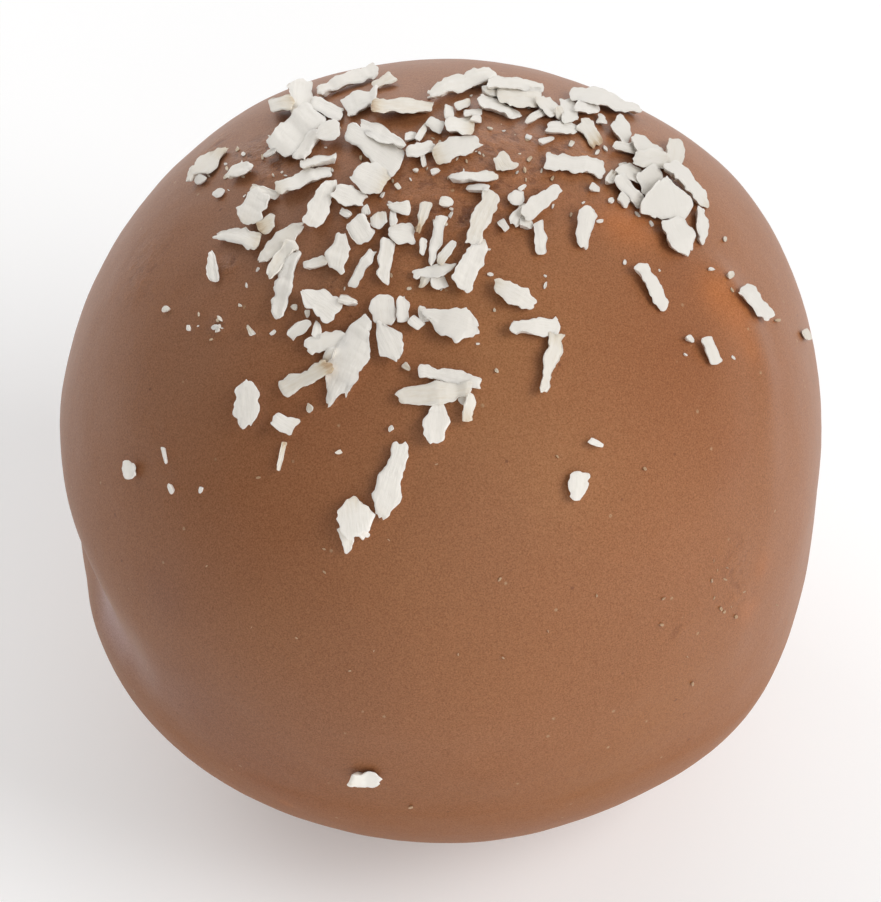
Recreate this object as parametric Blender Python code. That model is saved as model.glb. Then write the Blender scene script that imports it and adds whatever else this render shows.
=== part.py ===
"""A round milk chocolate truffle with coconut flakes on its top, as one solid.

Metres, +Z up. The origin is the middle of the flat foot, and the shown side faces -Y.
"""
import math
import random

import bmesh
import bpy
from mathutils import Vector

MM = 0.001

# The chocolate
BALL_RADIUS = 14.27 * MM
FOOT_RADIUS = 6.0 * MM
BALL_SUBDIVISIONS = 5
FOOT_MERGE = 0.01 * MM
SHARPEST_BEND = math.radians(35)

# The shown side is laid out as it is seen from a point in front and above.
VIEW_HEIGHT = math.radians(45)
VIEW_DISTANCE = 350 * MM
SIGHT_STEPS = 4

# The coconut
FLAKE_THICKNESS = 0.25 * MM
FLAKE_SINK = 0.15 * MM
HIGHEST_LIFT = 0.45 * MM
LEAST_FACING = 0.45
LIFT_SHARES = (0.1, 0.3, 0.5, 0.7, 0.9)
SEED = 11

# Round a flake's edge: shares of the length with the side, and how ragged the edge is.
EDGE_STATIONS = ((0, 1), (0.33, 1), (0.67, 1), (1, 1), (1, -1), (0.67, -1), (0.33, -1), (0, -1))
RAGGED = (0.85, 1.1)

# Slow swells and dents of the ball: turn round the outline from the right and
# tilt from the outline towards the viewer, both in degrees, spread and height.
SWELLS = (
    (42, 0, 17, 0.38 * MM),
    (165, 0, 28, -0.32 * MM),
    (193, 0, 12, -0.64 * MM),
    (226, 0, 14, 0.21 * MM),
    (317, 0, 16, 0.53 * MM),
    (356, 0, 24, -0.50 * MM),
    (50, 43, 5, 0.16 * MM),
    (29, 36, 5, 0.16 * MM),
    (-8, 39, 4, -0.05 * MM),
)

# The crease low on the left and the ridge on the right: turn, tilt and size along each.
CREASE = (
    (179, -30, 0.20 * MM),
    (187, 0, 0.80 * MM),
    (200, 12.7, 0.74 * MM),
    (206, 16.3, 0.55 * MM),
    (212, 18.8, 0.35 * MM),
    (220, 20.5, 0.05 * MM),
)
CREASE_SPREAD = 6
RIDGE = (
    (32, 35, 0.12 * MM),
    (23, 33, 0.12 * MM),
    (14, 33.5, 0.09 * MM),
    (4, 35, 0.06 * MM),
    (-9, 33, 0.04 * MM),
    (-19, 31, 0.02 * MM),
)
RIDGE_SPREAD = 3

# Each flake that shows, in millimetres as it is seen, the lower ones of a pile first:
# across and up of its two ends, then its widths at even steps from one end to the other.
FLAKES = (
    # Upper left
    (-5.1, 12.3, -5.05, 13.5, .7, .9, .95),
    (-5.2, 10.6, -4.4, 11.6, .55, .5, .4),
    (-6.0, 10.85, -4.5, 12.4, .9, 1.1, .95),
    (-4.7, 12.65, -3.6, 12.25, .5, .5, .45),
    (-6.15, 12.5, -5.35, 12.7, .45, .45, .4),
    (-4.45, 13.0, -2.3, 13.95, .35, .45, .5),
    (-4.4, 11.35, -3.7, 11.75, .6, .6, .6),
    (-5.1, 10.4, -3.75, 10.65, .35, .35, .25),
    (-7.82, 9.95, -6.85, 10.42, .12, .4, .45, .25),
    (-9.2, 9.9, -7.85, 11.0, .08, .5, .6, .2),
    (-5.95, 9.5, -3.95, 10.22, .5, .5, .35),
    (-6.55, 9.5, -7.0, 8.25, .7, .85, .85, .6),
    # Top
    (-2.5, 12.55, -.3, 12.52, .45, .45, .35),
    (-3.55, 12.45, -2.25, 12.95, .8, .75, .6),
    (-3.35, 11.72, -1.42, 10.35, .6, .85, .9),
    (-1.2, 10.8, -.25, 11.1, .3, .4, .45),
    (-.2, 10.75, 1.4, 11.3, .75, .7, .45),
    (.2, 11.8, 1.2, 11.85, .6, .6, .6),
    (-.4, 13.03, 2.0, 13.77, .35, .7, .7),
    (.33, 9.88, 2.05, 10.02, .15, .35, .4, .3),
    (-3.12, 10.1, -1.97, 9.66, .75, 1.05, .7),
    (-3.85, 9.44, -2.75, 9.05, .6, .8, .5),
    (-3.95, 9.78, -4.72, 8.15, .3, .6, .8, .65),
    # Upper right
    (1.7, 13.4, 3.7, 13.2, .3, .35, .3),
    (2.1, 12.95, 3.6, 12.85, .6, .65, .6),
    (1.35, 12.75, 2.9, 12.18, .45, .42, .25),
    (3.55, 12.85, 4.2, 12.2, .5, .5, .5),
    (4.55, 12.8, 4.75, 11.95, .45, .5, .5),
    (4.9, 12.6, 5.75, 12.4, .5, .45, .3),
    (4.8, 13.1, 7.25, 12.45, .35, .55, .45, .15),
    (3.85, 11.7, 4.95, 11.7, .3, .45, .5),
    (5.08, 11.97, 5.75, 11.15, .55, .6, .5),
    (3.82, 10.52, 5.98, 10.25, .45, .5, .55),
    (2.07, 10.75, 2.5, 10.15, .45, .6, .65),
    (6.38, 12.1, 6.78, 11.2, .5, .68, .45),
    # Right cluster
    (6.3, 11.1, 7.45, 10.92, .25, .4, .45),
    (6.95, 11.42, 8.1, 10.32, .25, .55, .75, .6),
    (7.05, 10.6, 8.3, 10.5, .4, .65, .5),
    (8.5, 11.35, 8.5, 10.3, .6, .8, .65, .5),
    (6.42, 9.95, 7.3, 8.88, .4, .5, .4),
    (6.42, 10.3, 7.65, 9.85, .4, .55, .5),
    (8.45, 8.45, 8.95, 7.15, 1.0, 1.0, .95, .5),
    (9.45, 8.85, 9.5, 7.5, .3, .42, .4, .2),
    (8.3, 10.45, 9.7, 8.95, .6, .5, .45, .35),
    (7.4, 10.25, 7.9, 9.3, .7, .9, .8),
    (8.08, 9.9, 8.35, 8.4, .4, 1.15, 1.75, 2.0, 1.6),
    # Middle left
    (-8.2, 7.95, -6.5, 7.6, .2, .5, .65, .7),
    (-5.3, 7.55, -6.3, 6.35, .5, .45, .25),
    (-5.0, 8.22, -6.6, 6.87, .3, .7, .65, .35),
    (-5.3, 7.28, -5.98, 4.83, .4, .5, .6, .65, .45),
    (-3.55, 7.85, -3.85, 6.55, .3, .7, .85, .7),
    (-5.0, 5.85, -3.75, 4.93, .5, .9, 1.0),
    # Middle
    (-3.2, 8.4, -2.65, 7.6, .7, .85, .8),
    (-1.85, 7.95, -.95, 7.85, .65, .8, .85),
    (-1.9, 7.7, -2.12, 6.12, .5, .48, .33),
    (-.5, 9.0, -.85, 7.95, .4, .35, .15),
    (.05, 8.5, -.35, 6.8, .4, .4, .25),
    (1.85, 9.35, 1.1, 7.5, .7, .7, .5),
    (1.47, 7.7, .72, 5.88, .5, .8, 1.0),
    (-1.0, 6.4, .5, 6.62, .25, .45, .3),
    (-2.45, 7.25, -3.25, 5.95, .35, .4, .3),
    (-2.13, 5.62, -2.07, 4.6, .8, .8, .68),
    (-1.4, 5.65, -1.35, 4.7, .25, .45, .5),
    (-2.2, 4.65, -1.55, 3.3, .3, .65, .95, .85, .35),
    (-.62, 4.95, 1.37, 4.33, .3, .75, 1.0, 1.15, .6),
    # Middle right
    (3.1, 8.9, 2.6, 8.3, .45, .5, .4),
    (4.3, 9.5, 2.95, 8.55, .35, .5, .6),
    (3.5, 8.3, 3.7, 7.1, .4, .4, .33),
    (5.3, 8.8, 5.1, 7.4, .6, .6, .45),
    (2.0, 6.05, 3.4, 5.25, .45, .8, .75, .3),
    (2.5, 4.45, 4.3, 4.47, .4, .6, .68),
    (4.25, 4.3, 3.7, 2.15, .6, .5, .45),
    # Far right
    (7.22, 6.78, 8.18, 5.22, .52, .5, .48),
    (10.95, 5.93, 12.02, 4.85, .45, .5, .42),
    (9.6, 4.15, 9.98, 3.2, .35, .4, .4),
    # Lower
    (-3.4, 4.08, -4.85, 3.8, .6, .65, .55),
    (-4.0, 3.15, -5.75, 2.15, .45, .6, .7),
    (-2.65, 4.85, -4.1, 1.72, .35, .85, 1.3, 1.15, .8, .35),
    (-6.95, 2.5, -7.05, .85, .35, .8, .9, .85, .4),
    (-6.05, 1.2, -5.3, .78, .35, .65, .75),
    (-1.55, 1.97, 1.1, 2.2, .5, .8, .5),
    (-.78, 2.9, 1.45, 2.45, .42, .5, .5),
    (-.07, 1.8, -.22, .3, .45, .9, .75),
    (-1.42, .28, -2.2, -2.38, .58, .6, .8, 1.0, .5),
    (-3.4, -2.7, -3.37, -3.68, .6, .45, .25),
    (-3.2, -1.7, -3.05, -3.1, .6, 1.35, .9),
    (5.05, -.75, 4.98, -1.8, .7, .6, .3),
    (-3.3, -11.85, -2.2, -11.95, .6, .5, .35),
)

# Flakes on the far side: how many, and how far down from the top they lie.
FAR_FLAKES = 8
FAR_SPACING = 2.6 * MM
FAR_REACH = math.radians(80)
FAR_CROWDING = 0.7
FAR_FACING = -0.22
FAR_LENGTHS = (0.8 * MM, 2.2 * MM)
FAR_WIDTHS = (0.45 * MM, 0.8 * MM)

MILK_CHOCOLATE = (0.27, 0.115, 0.055, 1.0)
CHOCOLATE_ROUGHNESS = 0.45

RIGHT = Vector((1, 0, 0))
TOWARD_VIEWER = Vector((0, -math.cos(VIEW_HEIGHT), math.sin(VIEW_HEIGHT)))
UP = TOWARD_VIEWER.cross(RIGHT)
MIDDLE_HEIGHT = math.sqrt(BALL_RADIUS ** 2 - FOOT_RADIUS ** 2)


def seen_direction(turn, tilt):
    """Unit direction from the ball's middle, given round the outline and towards the viewer."""
    turn = math.radians(turn)
    tilt = math.radians(tilt)
    outward = RIGHT * math.cos(turn) + UP * math.sin(turn)
    return outward * math.cos(tilt) + TOWARD_VIEWER * math.sin(tilt)


def bump(distance, spread):
    """Smooth bump of height 1, for a distance between unit directions and a spread in degrees."""
    return math.exp(-(distance / math.radians(spread)) ** 2)


def fold_size(direction, fold, spread):
    """Size of a crease or ridge in a direction, given by turn, tilt and size along it."""
    largest = 0
    for start, end in zip(fold, fold[1:]):
        near = seen_direction(start[0], start[1])
        run = seen_direction(end[0], end[1]) - near
        share = min(max((direction - near).dot(run) / run.length_squared, 0), 1)
        distance = (direction - near - run * share).length
        size = start[2] + (end[2] - start[2]) * share
        largest = max(largest, size * bump(distance, spread))
    return largest


def ball_radius(direction):
    """Distance from the ball's middle to the chocolate's surface in a unit direction."""
    radius = BALL_RADIUS - fold_size(direction, CREASE, CREASE_SPREAD)
    radius += fold_size(direction, RIDGE, RIDGE_SPREAD)
    for turn, tilt, spread, height in SWELLS:
        distance = (direction - seen_direction(turn, tilt)).length
        radius += height * bump(distance, spread)
    return radius


def sight_line(across, up):
    """Direction from the view point to a seen place, measured from the ball's middle."""
    return (RIGHT * across + UP * up - TOWARD_VIEWER * VIEW_DISTANCE).normalized()


def seen_point(across, up, height):
    """The point at a height above the chocolate that is seen at a place."""
    eye = TOWARD_VIEWER * VIEW_DISTANCE
    sight = sight_line(across, up)
    nearest = -eye.dot(sight)
    miss_squared = eye.length_squared - nearest ** 2
    radius = BALL_RADIUS
    for _ in range(SIGHT_STEPS):
        depth = math.sqrt(max((radius + height) ** 2 - miss_squared, 0))
        point = eye + sight * (nearest - depth)
        radius = ball_radius(point.normalized())
    return point


def seen_on_plane(across, up, origin, normal):
    """The point of a plane that is seen at a place."""
    eye = TOWARD_VIEWER * VIEW_DISTANCE
    sight = sight_line(across, up)
    return eye + sight * ((origin - eye).dot(normal) / sight.dot(normal))


def leaning_normal(normal):
    """A flake near the outline leans, so that it keeps facing the viewer a little."""
    if normal.dot(TOWARD_VIEWER) >= LEAST_FACING:
        return normal
    outward = (normal - TOWARD_VIEWER * normal.dot(TOWARD_VIEWER)).normalized()
    return TOWARD_VIEWER * LEAST_FACING + outward * math.sqrt(1 - LEAST_FACING ** 2)


class SeenFlake:
    """A flake laid out as it is seen, in metres."""

    def __init__(self, row):
        self.start = Vector(row[0:2]) * MM
        self.end = Vector(row[2:4]) * MM
        self.widths = [width * MM for width in row[4:]]
        self.length = (self.end - self.start).length
        self.along = (self.end - self.start) / self.length
        self.side = Vector((-self.along.y, self.along.x))
        self.lifts = (0, 0)

    def width(self, share):
        """Width at a share of the length."""
        steps = share * (len(self.widths) - 1)
        before = min(int(steps), len(self.widths) - 2)
        first, last = self.widths[before:before + 2]
        return first + (last - first) * (steps - before)

    def top_over(self, place):
        """Height of the flake's top over the ball at a seen place, 0 where it isn't there."""
        share = (place - self.start).dot(self.along) / self.length
        off = abs((place - self.start).dot(self.side))
        if share < 0 or share > 1 or off > self.width(share) / 2:
            return 0
        return self.lifts[0] + (self.lifts[1] - self.lifts[0]) * share + FLAKE_THICKNESS

    def lie_on(self, earlier):
        """Lift each end onto the earlier flakes that it lies over."""
        needed = []
        for share in LIFT_SHARES:
            place = self.start.lerp(self.end, share)
            needed.append(max([flake.top_over(place) for flake in earlier], default=0))
        first = min(max(needed[:3]), HIGHEST_LIFT)
        last = min(max(needed[2:]), HIGHEST_LIFT)
        self.lifts = (first, last)

    def outline(self, draw):
        """Places round the flake's uneven edge."""
        places = []
        for share, sign in EDGE_STATIONS:
            half = self.width(share) / 2 * draw.uniform(*RAGGED)
            places.append(self.start.lerp(self.end, share) + self.side * half * sign)
        return places

    def corners(self, draw):
        """Corner points of the flake's top face."""
        centre = (self.start + self.end) / 2
        height = FLAKE_THICKNESS + sum(self.lifts) / 2
        origin = seen_point(centre.x, centre.y, height)
        normal = leaning_normal(origin.normalized())
        first = seen_on_plane(self.start.x, self.start.y, origin, normal)
        last = seen_on_plane(self.end.x, self.end.y, origin, normal)
        slope = (self.lifts[1] - self.lifts[0]) / (last - first).length
        normal = (normal - (last - first).normalized() * slope).normalized()
        return [seen_on_plane(place.x, place.y, origin, normal) for place in self.outline(draw)]


def far_placings():
    """Direction, spin, length and width of each flake of the far side, thinning out downwards."""
    draw = random.Random(SEED)
    placings = []
    while len(placings) < FAR_FLAKES:
        down = FAR_REACH * draw.random() ** FAR_CROWDING
        turn = draw.uniform(0, math.pi)
        level = math.sin(down)
        direction = Vector((level * math.cos(turn), level * math.sin(turn), math.cos(down)))
        gaps = [(direction - other[0]).length * BALL_RADIUS for other in placings]
        if direction.dot(TOWARD_VIEWER) < FAR_FACING and min(gaps, default=FAR_SPACING) >= FAR_SPACING:
            spin = draw.uniform(0, math.tau)
            placings.append((direction, spin, draw.uniform(*FAR_LENGTHS), draw.uniform(*FAR_WIDTHS)))
    return placings


def far_corners(direction, spin, length, width, draw):
    """Corner points of the top face of a flake on the far side."""
    level = direction.cross(RIGHT).normalized()
    ahead = level * math.cos(spin) + direction.cross(level) * math.sin(spin)
    aside = direction.cross(ahead)
    middle = direction * (ball_radius(direction) + FLAKE_THICKNESS)
    corners = []
    for share, sign in EDGE_STATIONS:
        half = width / 2 * draw.uniform(*RAGGED)
        corners.append(middle + ahead * (share - 0.5) * length + aside * half * sign)
    return corners


def flake_mesh(name, corners):
    """A flake with the corners as its top face, reaching just into the chocolate."""
    bm = bmesh.new()
    top = bm.faces.new([bm.verts.new(corner) for corner in corners])
    bm.normal_update()
    if top.normal.dot(corners[0]) < 0:
        top.normal_flip()
    lowered = bmesh.ops.extrude_face_region(bm, geom=[top])
    for vertex in lowered["geom"]:
        if isinstance(vertex, bmesh.types.BMVert):
            direction = vertex.co.normalized()
            vertex.co = direction * (min(ball_radius(direction), vertex.co.length) - FLAKE_SINK)
    bmesh.ops.recalc_face_normals(bm, faces=bm.faces)
    mesh = bpy.data.meshes.new(name)
    bm.to_mesh(mesh)
    bm.free()
    return mesh


def add_flake(collection, corners):
    """One flake as an object of the collection."""
    name = f"flake_{len(collection.objects):03d}"
    flake = bpy.data.objects.new(name, flake_mesh(name, corners))
    flake.hide_render = True
    flake.display_type = "WIRE"
    collection.objects.link(flake)


def build_flakes():
    """All flakes, in a collection of their own."""
    collection = bpy.data.collections.new("flakes")
    bpy.context.scene.collection.children.link(collection)
    draw = random.Random(SEED)
    laid = []
    for row in FLAKES:
        flake = SeenFlake(row)
        flake.lie_on(laid)
        laid.append(flake)
        add_flake(collection, flake.corners(draw))
    for placing in far_placings():
        add_flake(collection, far_corners(*placing, draw))
    return collection


def build_ball():
    """The chocolate round its own middle, cut off flat at the foot."""
    bm = bmesh.new()
    bmesh.ops.create_icosphere(bm, subdivisions=BALL_SUBDIVISIONS, radius=1)
    for vertex in bm.verts:
        direction = vertex.co.normalized()
        vertex.co = direction * ball_radius(direction)
    bmesh.ops.bisect_plane(
        bm,
        geom=bm.verts[:] + bm.edges[:] + bm.faces[:],
        dist=FOOT_MERGE,
        plane_co=(0, 0, -MIDDLE_HEIGHT),
        plane_no=(0, 0, -1),
        clear_outer=True,
    )
    bmesh.ops.holes_fill(bm, edges=[edge for edge in bm.edges if edge.is_boundary])
    bmesh.ops.recalc_face_normals(bm, faces=bm.faces)
    mesh = bpy.data.meshes.new("truffle")
    bm.to_mesh(mesh)
    bm.free()
    mesh.shade_smooth()
    return bpy.data.objects.new("truffle", mesh)


def join_flakes(truffle, collection):
    """Fuse the flakes to the chocolate in one union, and take the loose flakes away."""
    union = truffle.modifiers.new("coconut", "BOOLEAN")
    union.operation = "UNION"
    union.operand_type = "COLLECTION"
    union.collection = collection
    union.solver = "EXACT"
    bpy.context.view_layer.objects.active = truffle
    bpy.ops.object.modifier_apply(modifier=union.name)
    for flake in list(collection.objects):
        bpy.data.objects.remove(flake)
    bpy.data.collections.remove(collection)


def chocolate_material():
    material = bpy.data.materials.new("milk_chocolate")
    material.use_nodes = True
    shader = material.node_tree.nodes["Principled BSDF"]
    shader.inputs["Base Color"].default_value = MILK_CHOCOLATE
    shader.inputs["Roughness"].default_value = CHOCOLATE_ROUGHNESS
    shader.inputs["Metallic"].default_value = 0.0
    return material


def main():
    for thing in list(bpy.data.objects):
        bpy.data.objects.remove(thing)
    parts = bpy.data.collections.new("chocolate_truffle")
    bpy.context.scene.collection.children.link(parts)
    truffle = build_ball()
    parts.objects.link(truffle)
    truffle.data.materials.append(chocolate_material())
    join_flakes(truffle, build_flakes())
    truffle.location.z = MIDDLE_HEIGHT
    truffle.data.set_sharp_from_angle(angle=SHARPEST_BEND)


main()
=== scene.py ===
"""A milk chocolate truffle with coconut flakes: its surfaces, light and camera.

Metres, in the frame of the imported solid: the origin is the middle of the flat foot.
"""

import math
import random

import bpy
import numpy as np
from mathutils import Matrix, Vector, noise


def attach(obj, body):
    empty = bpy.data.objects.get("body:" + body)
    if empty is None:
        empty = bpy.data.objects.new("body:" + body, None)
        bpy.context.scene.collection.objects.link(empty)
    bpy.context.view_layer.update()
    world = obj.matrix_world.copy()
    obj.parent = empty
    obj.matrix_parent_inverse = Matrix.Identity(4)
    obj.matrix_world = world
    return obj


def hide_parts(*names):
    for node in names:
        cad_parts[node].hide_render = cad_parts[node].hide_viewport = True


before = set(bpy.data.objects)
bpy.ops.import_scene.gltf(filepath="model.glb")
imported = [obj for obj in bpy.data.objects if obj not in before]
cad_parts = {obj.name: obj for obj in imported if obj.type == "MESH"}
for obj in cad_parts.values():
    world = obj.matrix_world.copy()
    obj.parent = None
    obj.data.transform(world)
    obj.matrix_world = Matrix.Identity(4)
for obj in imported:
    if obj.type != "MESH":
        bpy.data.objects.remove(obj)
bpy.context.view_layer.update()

MM = 0.001

# The chocolate, with the sizes of the solid
BALL_RADIUS = 14.27 * MM
FOOT_RADIUS = 6.0 * MM
FOOT_EDGE = 0.25 * MM
BALL_CUTS = 7

# The camera looks down at the shown side from in front.
VIEW_HEIGHT = math.radians(45)
VIEW_DISTANCE = 350 * MM
FRAME_HEIGHT = 32.8 * MM
SIGHT_STEPS = 4
NEAREST_SEEN = 10 * MM
FARTHEST_SEEN = 10.0

# The coconut: a flake's thickness, the most for its width, how deep it sinks in, how far
# earlier flakes lift it, where along it that is measured, and how far it faces the viewer.
FLAKE_THICKNESS = 0.18 * MM
THICKEST_FOR_WIDTH = 0.6
FLAKE_SINK = 0.05 * MM
HIGHEST_LIFT = 0.45 * MM
LIFT_SHARES = (0.1, 0.3, 0.5, 0.7, 0.9)
LEAST_FACING = 0.45
SEED = 11

# How a flake perches: the most that one end is raised, as a height and as a slope, the share
# of that, how often it is the left end, and how far the flake leans, its left or lower side up.
TALLEST_PERCH = 0.2 * MM
STEEPEST_PERCH = 0.22
PERCH_SHARES = (0.3, 1)
LEFT_PERCH_SHARE = 0.75
LEANS = (0.04, 0.2)
RAISED_SIDE_UP = 0.6

# The grid of points over a flake: rows along it, crowded towards its ends, and places across.
FLAKE_CELL = 0.07 * MM
FEWEST_ROWS = 6
ROW_CROWDING = 0.35
ACROSS_STEPS = np.array((-1, -0.93, -0.8, -0.55, -0.2, 0.2, 0.55, 0.8, 0.93, 1))

# The outline of a flake: how ragged it is, how far its breaks shift, their spacing and share
# along the sides and at the ends, how it narrows at the ends, and how its ends slant.
RAGGED_MOST = 0.09 * MM
RAGGED_FOR_WIDTH = 0.15
BREAK_SHIFT = 0.35
SIDE_BREAKS = ((0.36 * MM, 1), (0.14 * MM, 0.55))
END_BREAK = 0.2 * MM
NARROWING_REACH = 0.16
END_FULLNESS = 0.82
FULLNESS_GAIN = 0.21
END_ROUNDING = 0.05
END_REACH = 0.02 * MM
END_SLANT = 0.22
END_SHARE = 0.45

# The top of a flake, as shares of its thickness: thinner at the rim and the tips, thicker to
# one side and to one end, and uneven. Its bottom is set in, and it droops over the ball.
EDGE_DROP = 0.12
RIM_START = 0.75
TIP_REACH = 0.1 * MM
WEDGE = 0.25
TAPER = 0.25
SWELL_SPACING = 0.5 * MM
SWELL_HEIGHT = 0.3
FIBRE_HEIGHT = 0.1
RIPPLE_HEIGHT = 0.07
THICKNESS_SHARES = (0.85, 1.2)
DROOP_SHARE = 0.8
UNDERCUT = 0.16 * MM
UNDERCUT_SHARE = 0.32
SHARPEST_BEND = math.radians(55)

# Tones of the coconut, up to 1 for white: a share of the flakes is dull, a share turns beige
# towards one end, and the fibres show in all. Each flake has its own place in the grain.
TAN_TONE = -0.3
DUST_LENGTH = 0.15 * MM
DUST_TONES = (0, 0.8)
DULL_SHARE = 0.14
DULL_TONES = (0.35, 0.5)
WHITE_TONES = (0.6, 1)
BEIGE_SHARE = 0.35
BEIGE_REACH = 0.6 * MM
BEIGE_LOSS = (0.2, 0.6)
FIBRE_TONE = 0.6
GRAIN_SHIFT = 50 * MM

# Slow swells and dents of the ball: turn round the outline from the right and
# tilt from the outline towards the viewer, both in degrees, spread and height.
SWELLS = (
    (42, 0, 17, 0.38 * MM),
    (165, 0, 28, -0.32 * MM),
    (193, 0, 12, -0.64 * MM),
    (226, 0, 14, 0.21 * MM),
    (317, 0, 16, 0.53 * MM),
    (356, 0, 24, -0.50 * MM),
    (50, 43, 5, 0.16 * MM),
    (29, 36, 5, 0.16 * MM),
    (-8, 39, 4, -0.05 * MM),
)

# The crease low on the left and the ridge on the right: turn, tilt and size along each.
CREASE = (
    (179, -30, 0.20 * MM),
    (187, 0, 0.80 * MM),
    (200, 12.7, 0.74 * MM),
    (206, 16.3, 0.55 * MM),
    (212, 18.8, 0.35 * MM),
    (220, 20.5, 0.05 * MM),
)
CREASE_SPREAD = 6
RIDGE = (
    (32, 35, 0.12 * MM),
    (23, 33, 0.12 * MM),
    (14, 33.5, 0.09 * MM),
    (4, 35, 0.06 * MM),
    (-9, 33, 0.04 * MM),
    (-19, 31, 0.02 * MM),
)
RIDGE_SPREAD = 3

# The sheen along the lower side of the crease: a pale tint that is a painted reflection, where the
# chocolate also shines more. Turn, tilt and strength along it.
CREASE_SHEEN = (
    (190, 8, 0.2),
    (197, 14, 0.8),
    (206, 14, 0.9),
    (210, 16, 0.7),
    (214, 19, 0.4),
    (221, 23, 0.1),
)
CREASE_SHEEN_SPREAD = 4.5

# Spots of the chocolate: warm where the coating is thin, pale and bluish partly with coconut dust
# and partly with a painted reflection of the pale tent, paler, deeper, cooler with painted shade,
# more golden and scuffed. Each has across and up as it is seen and its radius, in
# millimetres, and then its strength.
WARM_SPOTS = (
    (6.6, 8.3, 0.9, 0.9), (7.3, 7.9, 0.6, 0.6), (10.1, 5.8, 0.85, 1.0), (10.8, 4.9, 0.85, 0.8),
    (11.3, 3.7, 0.5, 0.5), (11.7, -4.2, 0.5, 0.4), (11.2, -5.8, 0.6, 0.4), (-5.6, -12.8, 0.3, 0.6),
)
# Pale bluish spots: coconut dust near the flakes, and on the upper left a painted reflection of the
# pale tent.
DUST_AND_SHEEN_SPOTS = (
    (-9.0, 3.3, 3.4, 0.8), (-6.4, 7.8, 2.6, 0.8), (-8.0, 10.4, 1.6, 0.5), (-4.5, 6.2, 1.4, 0.5),
    (2.6, 12.3, 1.6, 0.7), (7.6, 9.8, 1.2, 0.7),
)
PALE_SPOTS = (
    (2.2, 4.2, 2.4, 0.8), (4.3, -0.9, 2.3, 0.8), (1.2, 1.2, 2.2, 0.6), (3.9, 7.6, 1.6, 0.3),
    (-3.8, 6.5, 0.9, 0.6), (-5.8, 6.0, 1.2, 0.7), (0.2, 5.8, 1.6, 0.8), (5.6, 10.2, 1.0, 0.6),
    (-1.6, -1.0, 1.6, 0.3),
)
DEEP_SPOTS = (
    (-5.5, -5.5, 4.2, 0.6), (8.8, 3.4, 2.8, 1.0), (10.4, 0.0, 1.4, 0.7), (-4.0, 1.0, 1.8, 0.3),
    (9.0, -10.5, 1.8, 0.3), (8.9, 6.1, 1.4, 1.0), (-6.0, -12.0, 2.4, 0.7), (12.3, 2.5, 1.5, 0.4),
)
# Painted shade: darker and cooler spots low on the left, where less light falls.
COOL_SHADE_SPOTS = (
    (-7.0, -11.0, 3.0, 0.5), (-9.3, -9.0, 1.9, 0.8), (-10.0, -5.2, 1.3, 0.6), (-11.3, -10.0, 1.0, 0.6),
)
GOLDEN_SPOTS = (
    (-1.2, -4.2, 3.2, 0.8), (-6.0, -6.5, 2.4, 0.7), (2.0, -8.0, 4.0, 0.6), (8.0, -9.5, 2.4, 0.8),
    (5.8, -12.0, 2.4, 0.8),
)
SCUFFS = (
    (1.5, 10.6, 3.0, 0.7), (-1.0, 8.6, 2.4, 0.5), (4.6, 11.0, 1.8, 0.7), (-6.9, 10.8, 0.9, 1.0),
    (-6.2, 11.1, 0.5, 1.0), (-6.1, 10.1, 0.7, 1.0), (-8.2, 11.2, 0.8, 0.8), (-10.9, 6.6, 1.5, 0.35),
    (-8.1, 4.55, 0.4, 0.9), (-7.7, 6.75, 0.4, 1.0), (10.8, -3.9, 0.8, 0.5), (10.9, -5.2, 0.7, 0.4),
    (0.7, 8.3, 0.6, 0.9), (-1.1, 6.3, 0.4, 0.9), (-3.9, 6.1, 0.5, 0.9), (8.7, -6.6, 0.6, 0.4),
)
SPOTS = {
    "deep": DEEP_SPOTS,
    "pale": PALE_SPOTS,
    "cool_shade": COOL_SHADE_SPOTS,
    "golden": GOLDEN_SPOTS,
    "dust_and_sheen": DUST_AND_SHEEN_SPOTS,
    "warm": WARM_SPOTS,
    "scuffed": SCUFFS,
}

# Tints of the spots and of the crease sheen, laid over each other in this order. The cool shade tint
# is painted shade, the dust and sheen tint is partly a painted reflection, and the crease sheen tint
# is a painted reflection.
SPOT_TINTS = {
    "deep": (0.262, 0.097, 0.037, 1),
    "pale": (0.322, 0.141, 0.0575, 1),
    "cool_shade": (0.243, 0.097, 0.0465, 1),
    "golden": (0.287, 0.114, 0.041, 1),
    "dust_and_sheen": (0.290, 0.131, 0.066, 1),
    "warm": (0.385, 0.135, 0.044, 1),
    "crease_sheen": (0.360, 0.205, 0.175, 1),
}

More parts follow.
